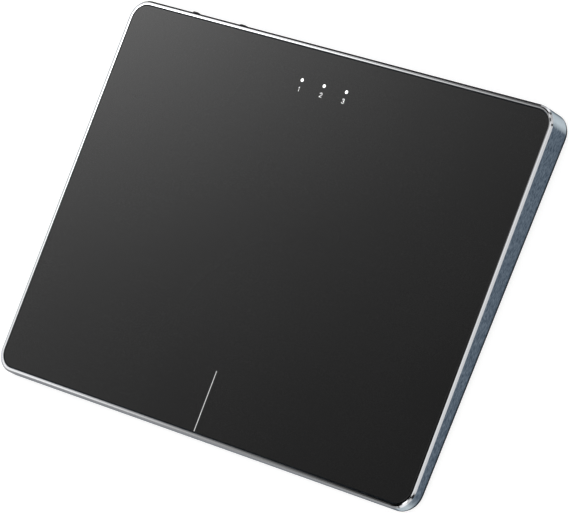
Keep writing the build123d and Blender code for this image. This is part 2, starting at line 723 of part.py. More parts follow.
def shield_can():
    y = BOARD_FRONT + CAN_FRONT_GAP + CAN_DEPTH / 2
    can = block(CAN_X, y, CAN_WIDTH, CAN_DEPTH, BOARD_TOP, BOARD_TOP + CAN_HEIGHT)
    width = CAN_WIDTH - 2 * CAN_WALL
    depth = CAN_DEPTH - 2 * CAN_WALL
    return can - block(CAN_X, y, width, depth, BOARD_TOP - OVERRUN, BOARD_TOP + CAN_HEIGHT - CAN_WALL)


def wireless_chip():
    y = BOARD_FRONT + CAN_FRONT_GAP + CAN_DEPTH / 2
    return block(CAN_X, y, CHIP_SIZE, CHIP_SIZE, BOARD_TOP, BOARD_TOP + CHIP_HEIGHT)


def charger_chip():
    y = BOARD_FRONT + CHARGER_FRONT_GAP + CHIP_SIZE / 2
    return block(CHARGER_X, y, CHIP_SIZE, CHIP_SIZE, BOARD_TOP, BOARD_TOP + CHIP_HEIGHT)


def chip_antenna():
    y = BOARD_REAR - ANTENNA_BACK_GAP - ANTENNA_WIDTH / 2
    high = BOARD_TOP + ANTENNA_HEIGHT
    return block(ANTENNA_X, y, ANTENNA_LENGTH, ANTENNA_WIDTH, BOARD_TOP, high)


def flex_socket():
    return Pos(FLEX_X, BOARD_FRONT + SOCKET_DEPTH / 2, BOARD_TOP) * Rot(0, 0, 180) * socket()


def touch_flex():
    """The flat cable, in an easy S from the tipping board down to the fixed one."""
    start = TOP * Location((0, TOUCH_SOCKET_Y + SOCKET_DEPTH / 2, -BOARD_BACK - SOCKET_SLOT))
    first_y = start.position.Y
    first_z = start.position.Z
    last_z = BOARD_TOP + SOCKET_SLOT
    points = [
        (FLEX_X, first_y + CONTACT_GAP, first_z),
        (FLEX_X, first_y + FLEX_LEAD, first_z),
        (FLEX_X, BOARD_FRONT - FLEX_LEAD, last_z),
        (FLEX_X, BOARD_FRONT - CONTACT_GAP, last_z),
    ]
    path = FilletPolyline(*points, radius=FLEX_RADIUS)
    face = Plane(origin=points[0], x_dir=(1, 0, 0), z_dir=(0, 1, 0))
    return sweep(face * Rectangle(FLEX_WIDTH, FLEX_THICKNESS), path=path)


# Socket and controls in the back wall


def usb_shell():
    far = DEPTH / 2 - USB_SETBACK
    near = far - USB_LENGTH
    outer = SlotOverall(USB_WIDTH, USB_HEIGHT)
    inner = SlotOverall(USB_WIDTH - 2 * USB_WALL, USB_HEIGHT - 2 * USB_WALL)
    shell = along_back(0, CONTROL_Z, outer, near, far)
    return shell - along_back(0, CONTROL_Z, inner, near - OVERRUN, far + OVERRUN)


def usb_tongue():
    far = DEPTH / 2 - USB_SETBACK
    near = far - USB_LENGTH
    root = USB_LENGTH - TONGUE_LENGTH - USB_WALL
    clear = 2 * (USB_WALL + FIT)
    block_profile = SlotOverall(USB_WIDTH - clear, USB_HEIGHT - clear)
    tongue = along_back(0, CONTROL_Z, block_profile, near, near + root)
    blade = RectangleRounded(TONGUE_WIDTH, TONGUE_THICKNESS, TONGUE_THICKNESS / 3)
    return tongue + along_back(0, CONTROL_Z, blade, near + root, near + root + TONGUE_LENGTH)


def power_switch_body():
    """A metal-cased slide switch with a T-shaped channel that keeps the slider's carriage."""
    middle = POWER_X + SLIDE_TRAVEL / 2
    y = BOARD_REAR - POWER_BODY_DEPTH / 2
    high = BOARD_TOP + POWER_BODY_HEIGHT
    body = block(middle, y, POWER_BODY_WIDTH, POWER_BODY_DEPTH, BOARD_TOP, high)
    channel = Rectangle(CARRIAGE_WIDTH + SLIDE_TRAVEL + 2 * RUN, CARRIAGE_HEIGHT + 2 * RUN)
    near = POWER_CARRIAGE_REAR - CARRIAGE_DEPTH - RUN
    body -= along_back(middle, CONTROL_Z, channel, near, POWER_CARRIAGE_REAR + RUN)
    mouth = Rectangle(NECK_WIDTH + SLIDE_TRAVEL + 2 * RUN, NECK_HEIGHT + 2 * RUN)
    return body - along_back(middle, CONTROL_Z, mouth, near, BOARD_REAR + OVERRUN)


def power_slider():
    """The carriage inside the switch, its neck, and the nub that stands out of the wall."""
    carriage = Rectangle(CARRIAGE_WIDTH, CARRIAGE_HEIGHT)
    near = POWER_CARRIAGE_REAR - CARRIAGE_DEPTH
    slider = along_back(POWER_X, CONTROL_Z, carriage, near, POWER_CARRIAGE_REAR)
    neck = Rectangle(NECK_WIDTH, NECK_HEIGHT)
    nub_near = BOARD_REAR + RUN
    slider += along_back(POWER_X, CONTROL_Z, neck, POWER_CARRIAGE_REAR, nub_near)
    nub_profile = RectangleRounded(NUB_WIDTH, NUB_HEIGHT, NUB_ROUND)
    nub = along_back(POWER_X, CONTROL_Z, nub_profile, nub_near, DEPTH / 2 + NUB_PROUD)
    nub = fillet(nub.faces().sort_by(Axis.Y)[-1].edges(), NUB_ROUND / 2)
    return slider + nub


def pair_switch_body():
    y = PAIR_BODY_REAR - PAIR_BODY_DEPTH / 2
    high = BOARD_TOP + PAIR_BODY_HEIGHT
    body = block(PAIR_X, y, PAIR_BODY_WIDTH, PAIR_BODY_DEPTH, BOARD_TOP, high)
    pocket = Circle(PAIR_PLUNGER_RADIUS + RUN)
    near = PAIR_BODY_REAR - PAIR_PLUNGER_ROOT - BUTTON_TRAVEL - RUN
    return body - along_back(PAIR_X, CONTROL_Z, pocket, near, PAIR_BODY_REAR + OVERRUN)


def pair_switch_plunger():
    far = BACK_INSIDE - CONTACT_GAP - BUTTON_FLANGE
    near = PAIR_BODY_REAR - PAIR_PLUNGER_ROOT
    return along_back(PAIR_X, CONTROL_Z, Circle(PAIR_PLUNGER_RADIUS), near, far)


def pair_button():
    """A round cap whose flange stops it against the inside of the back wall."""
    far = BACK_INSIDE - CONTACT_GAP
    flange = along_back(PAIR_X, CONTROL_Z, Circle(BUTTON_FLANGE_RADIUS), far - BUTTON_FLANGE, far)
    cap = along_back(PAIR_X, CONTROL_Z, Circle(BUTTON_RADIUS), far, DEPTH / 2 + BUTTON_PROUD)
    cap = fillet(cap.faces().sort_by(Axis.Y)[-1].edges(), BUTTON_ROUND)
    return flange + cap


save("frame", frame())
save("base_cover", base_cover())
save("base_screws", *base_screws())
for depth_name, y in (("front", -FOOT_Y), ("back", FOOT_Y)):
    for side_name, x in (("left", -FOOT_X), ("right", FOOT_X)):
        save("foot_" + depth_name + "_" + side_name, foot(x, y))

save("glass_panel", glass_panel())
save("glass_adhesive", glass_adhesive())
save("touch_board", touch_board())
save("plate_adhesive", plate_adhesive())
save("stiffener_plate", stiffener_plate())
save("indicator_diffusers", *indicator_diffusers())
save("indicator_leds", *indicator_leds())
save("touch_controller", touch_controller())
save("touch_socket", touch_socket())
save("click_switch_body", click_switch_body())
save("click_plunger", click_plunger())
save("click_adjust_screw", click_adjust_screw())
save("stop_pads", *stop_pads())
save("hinge_spring_left", hinge_spring(-1))
save("hinge_spring_right", hinge_spring(1))
save("hinge_screws", *headed_pins(leaf_screws(), LEDGE_FACE + 2 * FIT))
save("hinge_rivets", *headed_pins(leaf_rivets(), PLATE_FACE))

save("battery_cell", battery_cell())
save("battery_tape", battery_tape())
save("battery_protection_board", battery_protection_board())
save("battery_leads", *battery_leads())
save("battery_plug", battery_plug())
save("battery_socket", battery_socket())

save("main_board", main_board())
save("board_screws", *board_screws())
save("shield_can", shield_can())
save("wireless_chip", wireless_chip())
save("charger_chip", charger_chip())
save("chip_antenna", chip_antenna())
save("flex_socket", flex_socket())
save("touch_flex", touch_flex())

save("usb_shell", usb_shell())
save("usb_tongue", usb_tongue())
save("power_switch_body", power_switch_body())
save("power_slider", power_slider())
save("pair_switch_body", pair_switch_body())
save("pair_switch_plunger", pair_switch_plunger())
save("pair_button", pair_button())
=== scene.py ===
import math

import bpy
from mathutils import Matrix, Vector


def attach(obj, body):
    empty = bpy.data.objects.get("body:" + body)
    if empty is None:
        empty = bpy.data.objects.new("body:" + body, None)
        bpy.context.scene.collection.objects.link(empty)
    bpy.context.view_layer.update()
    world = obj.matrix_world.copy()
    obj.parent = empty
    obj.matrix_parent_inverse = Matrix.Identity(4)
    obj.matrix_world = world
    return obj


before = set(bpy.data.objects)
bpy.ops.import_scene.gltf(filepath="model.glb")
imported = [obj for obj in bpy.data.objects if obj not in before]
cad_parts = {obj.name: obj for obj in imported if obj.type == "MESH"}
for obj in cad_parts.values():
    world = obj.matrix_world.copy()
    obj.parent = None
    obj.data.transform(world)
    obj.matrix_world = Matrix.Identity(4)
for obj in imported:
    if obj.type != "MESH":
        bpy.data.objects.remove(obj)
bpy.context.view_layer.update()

# The frame: one piece of aluminium, milled all over. Its walls are brushed along their length
# and anodised a dark blue grey. The two bevels round the top are cut last, with a diamond tool,
# through the colour, and stay bright.

MM = 0.001
BACK_WALL = 8.3 * MM
FRONT_WALL = 3.75 * MM
DEPTH = 117.8 * MM
TILT = math.atan2(BACK_WALL - FRONT_WALL, DEPTH)
TOP_HEIGHT = 7.525 * MM
BEVEL_DEPTH = 0.39 * MM
INNER_BEVEL_DEPTH = 0.10 * MM
CUT_BLUR = 0.01 * MM
FOOT_SHADE_HEIGHTS = (2.10 * MM, 2.40 * MM)
FACES_UP = (0.5, 0.7)
BRUSH_LENGTH = 1.4 * MM
BRUSH_PITCH = 0.30 * MM
BRUSH_TONES = (0.33, 0.67)
BRUSH_RELIEF = 0.006 * MM
CLOUD = 14.0 * MM
CLOUD_SHARE = 0.04
CUT_ROUGHNESS = 0.10
WALL_ROUGHER = 0.30
BRUSH_ROUGHER = 0.16
ANODISED = (0.043, 0.063, 0.089, 1.0)
ANODISED_WORN = (0.161, 0.201, 0.246, 1.0)
ANODISED_PAINTED_SHADE = (0.022, 0.030, 0.041, 1.0)
# The colour of the highlight painted on the rounded corners.
PAINTED_CORNER_SHEEN = (0.53, 0.60, 0.64, 1.0)
EDGE_TINT = (0.50, 0.52, 0.55, 1.0)
CUT_METAL = (0.91, 0.92, 0.94, 1.0)
CUT_METAL_PAINTED_DARKER = (0.55, 0.56, 0.58, 1.0)
CORNER_TURN = (0.02, 0.25)
SHEEN_START = (0.39, 0.58)
SHEEN_END = (0.72, 0.88)
SHEEN_LEAST = 0.7
SHEEN_BRUSHED = 0.6


class Socket:
    """An output in a finish's node tree. Sums on it add nodes, so a finish reads as arithmetic."""

    def __init__(self, tree, socket=None):
        self.tree = tree
        self.socket = socket

    def node(self, kind, settings=None, inputs=None, output=0):
        """A node of some kind: its settings come first, then the values or links of its inputs."""
        made = self.tree.nodes.new("ShaderNode" + kind)
        for name, value in (settings or {}).items():
            setattr(made, name, value)
        for name, value in (inputs or {}).items():
            if isinstance(value, Socket):
                self.tree.links.new(value.socket, made.inputs[name])
            else:
                made.inputs[name].default_value = value
        return Socket(self.tree, made.outputs[output])

    def sum(self, operation, first, second):
        return self.node("Math", {"operation": operation}, {0: first, 1: second})

    def __add__(self, other):
        return self.sum("ADD", self, other)

    def __radd__(self, other):
        return self.sum("ADD", other, self)

    def __sub__(self, other):
        return self.sum("SUBTRACT", self, other)

    def __rsub__(self, other):
        return self.sum("SUBTRACT", other, self)

    def __mul__(self, other):
        return self.sum("MULTIPLY", self, other)

    def __rmul__(self, other):
        return self.sum("MULTIPLY", other, self)

    def __truediv__(self, other):
        return self.sum("DIVIDE", self, other)

    def part(self, letter):
        """One coordinate of a place or a direction."""
        return self.node("SeparateXYZ", inputs={"Vector": self}, output=letter)

    def rise(self, low, high):
        """0 below one value, 1 above another, and an easy curve between them."""
        ends = {"Value": self, "From Min": low, "From Max": high}
        return self.node("MapRange", {"interpolation_type": "SMOOTHSTEP"}, ends)

    def blend(self, first, second):
        """One colour where this is 0 and another where it is 1."""
        return self.node("Mix", {"data_type": "RGBA"}, {0: self, 6: first, 7: second}, output=2)

    def noise(self, size, detail=2.0, rough=0.5):
        """Cloudy noise at this place: one size of grain, or one for each of the directions."""
        sizes = size if isinstance(size, tuple) else (size, size, size)
        scale = tuple(1 / length for length in sizes)
        stretched = self.node("Mapping", inputs={"Vector": self, "Scale": scale})
        values = {"Vector": stretched, "Scale": 1.0, "Detail": detail, "Roughness": rough}
        return self.node("TexNoise", inputs=values)

    def relief(self, height, strength):
        """A bump of this height field, in metres."""
        values = {"Height": self, "Distance": height, "Strength": strength}
        return self.node("Bump", inputs=values)


def new_finish(name, **constants):
    """A material, its shader and the place on the piece. Constants go on the shader's sockets."""
    material = bpy.data.materials.new(name)
    material.use_nodes = True
    shader = material.node_tree.nodes["Principled BSDF"]
    for key, value in constants.items():
        shader.inputs[key.replace("_", " ")].default_value = value
    place = Socket(material.node_tree).node("TexCoord", output="Object")
    return material, shader, place


def feed(shader, **links):
    """Joins what changes over the surface to the shader's inputs."""
    for key, value in links.items():
        value.tree.links.new(value.socket, shader.inputs[key.replace("_", " ")])


def dress(material, *names):
    """Gives the carried-over pieces their finish."""
    for name in names:
        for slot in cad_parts[name].material_slots:
            slot.material = material


aluminium, shader, place = new_finish(
    "brushed_anodised_aluminium", Metallic=1.0, Specular_Tint=EDGE_TINT
)
facing = place.node("TexCoord", output="Normal")

# The walls start where the bevels end: at a depth below the tilted plane of the top.
drop = (place.part("Y") * math.tan(TILT) + TOP_HEIGHT - place.part("Z")) * math.cos(TILT)
below_bevels = drop.rise(BEVEL_DEPTH - CUT_BLUR, BEVEL_DEPTH + CUT_BLUR)
below_inner = drop.rise(INNER_BEVEL_DEPTH, INNER_BEVEL_DEPTH + CUT_BLUR)
wall = 1 - facing.part("Z").rise(*FACES_UP) * (1 - below_bevels)

brushing = place.noise((BRUSH_LENGTH, BRUSH_LENGTH, BRUSH_PITCH), detail=3.0, rough=0.7)
clouds = place.noise(CLOUD)
tone = (brushing + (clouds - 0.5) * CLOUD_SHARE).rise(*BRUSH_TONES)

# A painted highlight: the rounded corners get a pale blue sheen painted into the base colour where
# they turn away from the eye, in place of a reflection.
across_corner = facing.part("X") * facing.part("Y")
corner = (across_corner * across_corner * 4.0).rise(*CORNER_TURN)
grazing = place.node("LayerWeight", inputs={"Blend": 0.5}, output="Facing")
painted_sheen = grazing.rise(*SHEEN_START) * (1 - grazing.rise(*SHEEN_END))
painted_sheen = painted_sheen * (brushing * SHEEN_BRUSHED + SHEEN_LEAST) * corner

anodised = painted_sheen.blend(tone.blend(ANODISED, ANODISED_WORN), PAINTED_CORNER_SHEEN)
# Painted shade: the walls turn darker towards their foot, below 2.1 to 2.4 mm, in place of the
# floor's shadow that they mirror.
anodised = place.part("Z").rise(*FOOT_SHADE_HEIGHTS).blend(ANODISED_PAINTED_SHADE, anodised)
# Painted shade: the cut metal of the outer bevel is painted darker than that of the inner one.
feed(
    shader,
    Base_Color=wall.blend(below_inner.blend(CUT_METAL, CUT_METAL_PAINTED_DARKER), anodised),
    Roughness=wall * (brushing * BRUSH_ROUGHER + WALL_ROUGHER) + CUT_ROUGHNESS,
    Normal=(brushing * wall).relief(BRUSH_RELIEF, 0.5),
)
dress(aluminium, "frame")

# The floor of the body and its four feet: a moulded black cover with a fine spark-eroded grain,
# screwed up into the frame, and soft rubber discs glued into its recesses. The stop pads in the
# frame are the same rubber.

GRAIN = 0.28 * MM
COVER_RELIEF = 0.02 * MM
COVER_BLACK = (0.006, 0.007, 0.008, 1.0)
COVER_GREY = (0.013, 0.014, 0.016, 1.0)
RUBBER_GRAIN = 0.6 * MM
RUBBER_RELIEF = 0.015 * MM
RUBBER_BLACK = (0.012, 0.012, 0.012, 1.0)
RUBBER_DUSTY = (0.030, 0.029, 0.028, 1.0)


def moulded(name, dark, light, roughness, grain, relief, **constants):
    """A moulded plastic or rubber: two near tones in its grain, and the same grain as a relief."""
    material, shader, place = new_finish(name, **constants)
    fine = place.noise(grain, detail=3.0, rough=0.6)
    broad = place.noise(CLOUD)
    feed(
        shader,
        Base_Color=(fine * 0.6 + broad * 0.4).rise(0.3, 0.7).blend(dark, light),
        Roughness=fine * 0.12 + roughness,
        Normal=fine.relief(relief, 0.6),
    )
    return material


cover_finish = moulded(
    "moulded_cover", COVER_BLACK, COVER_GREY, 0.50, GRAIN, COVER_RELIEF, Specular_IOR_Level=0.1
)
rubber = moulded("foot_rubber", RUBBER_BLACK, RUBBER_DUSTY, 0.72, RUBBER_GRAIN, RUBBER_RELIEF)
dress(cover_finish, "base_cover")
dress(rubber, "foot_front_left", "foot_front_right", "foot_back_left", "foot_back_right")
dress(rubber, "stop_pads")

# Screws, rivets, hinge leaves, cans and shells: plain steel, turned, rolled or pressed, with the
# light marks that each way of working leaves.

STEEL_RELIEF = 0.004 * MM
STEEL_DARK = (0.30, 0.30, 0.31, 1.0)
STEEL_LIGHT = (0.48, 0.48, 0.49, 1.0)
TIN_DARK = (0.50, 0.50, 0.50, 1.0)
TIN_LIGHT = (0.66, 0.66, 0.65, 1.0)
TURNED_MARK = 0.25 * MM
ROLLED_MARK = (0.3 * MM, 6.0 * MM, 0.3 * MM)
PRESSED_MARK = (4.0 * MM, 0.4 * MM, 0.4 * MM)


def worked_steel(name, dark, light, roughness, mark):
    """Bare metal with marks of one size, or long in one direction and fine in the others."""
    material, shader, place = new_finish(name, Metallic=1.0)
    streaks = place.noise(mark, detail=3.0, rough=0.6)
    feed(
        shader,
        Base_Color=streaks.rise(0.3, 0.7).blend(dark, light),
        Roughness=streaks * 0.15 + roughness,
        Normal=streaks.relief(STEEL_RELIEF, 0.5),
    )
    return material


turned = worked_steel("turned_steel", STEEL_DARK, STEEL_LIGHT, 0.28, TURNED_MARK)
rolled = worked_steel("rolled_steel", STEEL_DARK, STEEL_LIGHT, 0.24, ROLLED_MARK)
tinned = worked_steel("tinned_sheet", TIN_DARK, TIN_LIGHT, 0.30, PRESSED_MARK)
dress(turned, "base_screws", "board_screws", "hinge_screws", "hinge_rivets", "click_adjust_screw")
dress(rolled, "hinge_spring_left", "hinge_spring_right", "stiffener_plate")
dress(tinned, "shield_can", "click_switch_body", "power_switch_body", "usb_shell")

# The battery: a soft pouch of laminated foil with faint wrinkles, held by black adhesive film,
# with a pair of red wires. The same film holds the glass and the board under it.

WRINKLE = (3.5 * MM, 8.75 * MM, 3.5 * MM)
WRINKLE_RELIEF = 0.08 * MM
FILM_GRAIN = 1.5 * MM
WIRE_GRAIN = 0.5 * MM
THIN_RELIEF = 0.004 * MM
FOIL_DARK = (0.42, 0.42, 0.43, 1.0)
FOIL_LIGHT = (0.60, 0.60, 0.60, 1.0)
FILM_BLACK = (0.02, 0.02, 0.02, 1.0)
FILM_GREY = (0.03, 0.03, 0.03, 1.0)
WIRE_DARK = (0.36, 0.012, 0.010, 1.0)
WIRE_RED = (0.50, 0.02, 0.016, 1.0)

foil, shader, place = new_finish("pouch_foil", Metallic=1.0)
wrinkles = place.noise(WRINKLE, detail=3.0, rough=0.55)
feed(
    shader,
    Base_Color=wrinkles.rise(0.3, 0.7).blend(FOIL_DARK, FOIL_LIGHT),
    Roughness=wrinkles * 0.2 + 0.26,
    Normal=wrinkles.relief(WRINKLE_RELIEF, 0.7),
)
dress(foil, "battery_cell")
tape = moulded("black_film", FILM_BLACK, FILM_GREY, 0.5, FILM_GRAIN, THIN_RELIEF)
dress(tape, "battery_tape", "glass_adhesive", "plate_adhesive")
wire = moulded("red_wire", WIRE_DARK, WIRE_RED, 0.36, WIRE_GRAIN, THIN_RELIEF)
dress(wire, "battery_leads")

# The circuit boards: glass fibre under solder mask, which shows the weave faintly.

WEAVE = 0.45 * MM
WEAVE_RELIEF = 0.01 * MM
GREEN_DARK = (0.006, 0.060, 0.026, 1.0)
GREEN_LIGHT = (0.012, 0.095, 0.042, 1.0)
MASK_DARK = (0.006, 0.012, 0.022, 1.0)
MASK_LIGHT = (0.012, 0.022, 0.036, 1.0)


def masked_board(name, dark, light):
    """Solder mask over glass cloth: threads both ways, a few grains long."""
    material, shader, place = new_finish(name, Coat_Weight=0.3, Coat_Roughness=0.2)
    weave = place.noise((WEAVE, 4 * WEAVE, WEAVE), detail=1.0)
    cross = place.noise((4 * WEAVE, WEAVE, WEAVE), detail=1.0)
    cloth = weave * 0.5 + cross * 0.5
    feed(
        shader,
        Base_Color=cloth.rise(0.35, 0.65).blend(dark, light),
        Roughness=cloth * 0.15 + 0.34,
        Normal=cloth.relief(WEAVE_RELIEF, 0.5),
    )
    return material


dress(masked_board("green_mask", GREEN_DARK, GREEN_LIGHT), "main_board")
dark_board = masked_board("dark_mask", MASK_DARK, MASK_LIGHT)
dress(dark_board, "touch_board", "battery_protection_board")

# What sits on the boards: chips moulded in black resin, pale plastic connectors, a ceramic
# antenna, and a flat cable of amber film.

CHIP_GRAIN = 0.12 * MM
CHIP_RELIEF = 0.006 * MM
CHIP_BLACK = (0.012, 0.012, 0.012, 1.0)
CHIP_GREY = (0.022, 0.022, 0.022, 1.0)
PALE_GRAIN = 0.2 * MM
PALE_DARK = (0.62, 0.60, 0.54, 1.0)
PALE_LIGHT = (0.70, 0.68, 0.62, 1.0)
CERAMIC_GRAIN = 0.3 * MM
CERAMIC_DARK = (0.60, 0.58, 0.52, 1.0)
CERAMIC_LIGHT = (0.72, 0.70, 0.64, 1.0)
AMBER_GRAIN = 2.0 * MM
AMBER_RELIEF = 0.003 * MM
AMBER_DARK = (0.34, 0.15, 0.02, 1.0)
AMBER_LIGHT = (0.46, 0.22, 0.04, 1.0)

chip = moulded("moulded_chip", CHIP_BLACK, CHIP_GREY, 0.5, CHIP_GRAIN, CHIP_RELIEF)
dress(chip, "touch_controller", "wireless_chip", "charger_chip")
pale = moulded("pale_connector", PALE_DARK, PALE_LIGHT, 0.4, PALE_GRAIN, THIN_RELIEF)
dress(pale, "battery_plug", "battery_socket", "flex_socket", "touch_socket")
ceramic = moulded("ceramic", CERAMIC_DARK, CERAMIC_LIGHT, 0.3, CERAMIC_GRAIN, THIN_RELIEF)
dress(ceramic, "chip_antenna")
amber = moulded("amber_film", AMBER_DARK, AMBER_LIGHT, 0.3, AMBER_GRAIN, AMBER_RELIEF)
dress(amber, "touch_flex")

# What shows in the back wall: the socket's tongue, the slide switch and the round button, all
# black plastic, with the inner parts of the two switches behind them. The click switch's plunger
# is the same plastic.

CONTROL_GRAIN = 0.14 * MM
CONTROL_RELIEF = 0.006 * MM
CONTROL_BLACK = (0.009, 0.009, 0.010, 1.0)
CONTROL_SHEEN = (0.016, 0.016, 0.017, 1.0)

control = moulded(
    "control_black", CONTROL_BLACK, CONTROL_SHEEN, 0.36, CONTROL_GRAIN, CONTROL_RELIEF
)
dress(control, "power_slider", "pair_button")
dress(control, "usb_tongue", "pair_switch_body", "pair_switch_plunger", "click_plunger")

# The lights: a small white lamp under each of three clear pegs that end behind the glass.

GUIDE_GLOW = 1.2
GUIDE_SHADE = (0.85, 0.85, 0.85, 1.0)
LIT_WHITE = (1.0, 1.0, 1.0, 1.0)


def lit_plastic(name, glow, shade, roughness):
    """White plastic with a faint haze in it, lit through."""
    material, shader, place = new_finish(name, Emission_Color=LIT_WHITE, Emission_Strength=glow)
    haze = place.noise(GRAIN, detail=1.0)
    feed(shader, Base_Color=haze.blend(shade, LIT_WHITE), Roughness=haze * 0.2 + roughness)
    return material


guide = lit_plastic("lit_guide", GUIDE_GLOW, GUIDE_SHADE, 0.2)
dress(guide, "indicator_diffusers", "indicator_leds")

# The top: one sheet of satin-etched glass, printed black behind and glued to the touch board.

ETCH = 0.18 * MM
ETCH_RELIEF = 0.0006 * MM
BLOOM = 3 * CLOUD
GLASS_BLACK = (0.0102, 0.0102, 0.0103, 1.0)
GLASS_SOFT = (0.0128, 0.0128, 0.0129, 1.0)

glass, shader, place = new_finish("etched_black_glass", IOR=1.4)
etching = place.noise(ETCH, rough=0.6)
bloom = place.noise(BLOOM, detail=1.0)
feed(
    shader,
    Base_Color=bloom.blend(GLASS_BLACK, GLASS_SOFT),
    Roughness=etching * 0.04 + bloom * 0.02 + 0.24,
    Normal=etching.relief(ETCH_RELIEF, 0.4),
)
dress(glass, "glass_panel")

# The lit dots: three round openings, laser-cut in the black print over the pegs and filled with
# white.

PRINT = 0.012 * MM
DOT_RADIUS = 0.50 * MM
DOT_PITCH = 8.42 * MM
DOT_Y = 47.94 * MM
DOT_SHIFT = -0.15 * MM
DOT_GLOW = 1.6
DOT_SHADE = (0.9, 0.9, 0.9, 1.0)

on_top = Matrix.Translation((0, 0, TOP_HEIGHT)) @ Matrix.Rotation(TILT, 4, "X")


def lay_on_top(piece, material):
    """Tips a piece drawn flat at z = 0 onto the glass, and lets it move with the click plate."""
    piece.data.transform(on_top @ piece.matrix_world)
    piece.matrix_world = Matrix.Identity(4)
    piece.data.materials.clear()
    piece.data.materials.append(material)
    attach(piece, "click_plate")


def thicken(piece):
    """Gives a flat face the thickness of the print, from the glass up."""
    bpy.ops.object.select_all(action="DESELECT")
    piece.select_set(True)
    bpy.context.view_layer.objects.active = piece
    bpy.ops.object.mode_set(mode="EDIT")
    bpy.ops.mesh.select_all(action="SELECT")
    bpy.ops.mesh.extrude_region_move(TRANSFORM_OT_translate={"value": (0, 0, PRINT)})
    bpy.ops.mesh.select_all(action="SELECT")
    bpy.ops.mesh.normals_make_consistent(inside=False)
    bpy.ops.object.mode_set(mode="OBJECT")


lit = lit_plastic("lit_dot", DOT_GLOW, DOT_SHADE, 0.3)
bpy.ops.object.select_all(action="DESELECT")
bpy.ops.mesh.primitive_circle_add(vertices=48, radius=DOT_RADIUS, fill_type="NGON")
dots = [bpy.context.object]
thicken(dots[0])
for number in (2, 3):
    dot = dots[0].copy()
    dot.data = dots[0].data.copy()
    bpy.context.scene.collection.objects.link(dot)
    dots.append(dot)
for number, dot in enumerate(dots, start=1):
    dot.name = f"light_dot_{number}"
    spot = ((number - 2) * DOT_PITCH + DOT_SHIFT, DOT_Y, 0)
    dot.matrix_world = Matrix.Translation(spot)
    lay_on_top(dot, lit)

# The figures under the dots, printed like them: one thin even stroke each, in shares of the
# height, with sharp points marked 0 and round ones 1. The narrow one has a short flag and no foot.

FIGURE_HEIGHT = 1.30 * MM
FIGURE_STROKE = 0.12 * MM
FIGURE_Y = 45.18 * MM
FIGURE_SHIFT = -0.20 * MM
FIGURE_PAINTED_GLOW = 1.5
PRINT_WHITE = (0.62, 0.62, 0.62, 1.0)
PRINT_SHADE = (0.52, 0.52, 0.52, 1.0)
STROKES = {
    1: ((-0.16, 0.80, 0), (0.08, 1.02, 0), (0.08, -0.02, 0)),
    2: (
        (-0.34, 0.76, 1), (0.0, 0.98, 1), (0.30, 0.76, 1),
        (0.12, 0.44, 1), (-0.36, 0.03, 0), (0.36, 0.0, 0),
    ),
    3: (
        (-0.36, 0.84, 1), (-0.02, 1.0, 1), (0.28, 0.77, 1), (-0.06, 0.54, 0),
        (0.34, 0.27, 1), (-0.02, 0.0, 1), (-0.40, 0.20, 1),
    ),
}


def white_print(name, glow):
    """White ink behind the glass, faintly uneven, given a painted glow of a set amount."""
    material, shader, place = new_finish(name, Emission_Color=LIT_WHITE, Emission_Strength=glow)
    speckle = place.noise(GRAIN, rough=0.6)
    feed(shader, Base_Color=speckle.blend(PRINT_SHADE, PRINT_WHITE), Roughness=speckle * 0.2 + 0.4)
    return material


painted_glow_figure = white_print("painted_glow_figure", FIGURE_PAINTED_GLOW)
for number, stroke in STROKES.items():
    bpy.ops.object.select_all(action="DESELECT")
    bpy.ops.curve.primitive_bezier_curve_add()
    figure = bpy.context.object
    figure.name = f"printed_figure_{number}"
    figure.data.splines.clear()
    line = figure.data.splines.new("BEZIER")
    line.bezier_points.add(len(stroke) - 1)
    middle = (number - 2) * DOT_PITCH + FIGURE_SHIFT
    for point, (x, y, is_round) in zip(line.bezier_points, stroke):
        point.co = (middle + x * FIGURE_HEIGHT, FIGURE_Y + (y - 0.5) * FIGURE_HEIGHT, 0)
        point.handle_left_type = point.handle_right_type = "AUTO" if is_round else "VECTOR"
    figure.data.bevel_depth = FIGURE_STROKE / 2
    figure.data.bevel_resolution = 3
    figure.data.resolution_u = 8
    figure.data.use_fill_caps = True
    bpy.ops.object.convert(target="MESH")
    figure.data.transform(Matrix.Diagonal((1.0, 1.0, 2 * PRINT / FIGURE_STROKE, 1.0)))
    lay_on_top(figure, painted_glow_figure)

# The line that parts the two click zones: a hairline from near the front edge, a sixth of the way
# back, cut in the black print and filled with white, with a faint painted glow.

LINE_WIDTH = 0.25 * MM
LINE_FRONT = -57.25 * MM
LINE_BACK = -39.0 * MM
LINE_PAINTED_GLOW = 0.26

bpy.ops.object.select_all(action="DESELECT")
bpy.ops.mesh.primitive_plane_add(size=1.0, location=(0, (LINE_FRONT + LINE_BACK) / 2, 0))
zone_line = bpy.context.object
zone_line.name = "zone_line"
zone_line.scale = (LINE_WIDTH, LINE_BACK - LINE_FRONT, 1.0)
bpy.ops.object.transform_apply(location=False, rotation=False, scale=True)
thicken(zone_line)
lay_on_top(zone_line, white_print("white_print", LINE_PAINTED_GLOW))

# The studio: a white floor, a hair below the feet so that no two faces share a plane. A graded
# cloth hangs close to the left and shows in the glass, bright at its far left and dark towards
# the right, with a black flag behind it that shows in the back bevel.

FLOOR_SIZE = 6.0
FLOOR_GAP = 0.02 * MM
FLOOR_PALE = (0.42, 0.42, 0.42, 1.0)
FLOOR_GLOW = 0.79
CLOTH_HEIGHT = 0.35
CLOTH = (-0.85, -0.035, -0.45, 0.45)
FLAG = (-1.40, -0.44, 0.45, 1.40)
CLOTH_LEFT_END = -0.40
CLOTH_FRONT_END = -0.04
CLOTH_PEAK = 0.15
CLOTH_RATE = 10.3
CLOTH_LEVEL = -3.62
CLOTH_CUT = 0.13


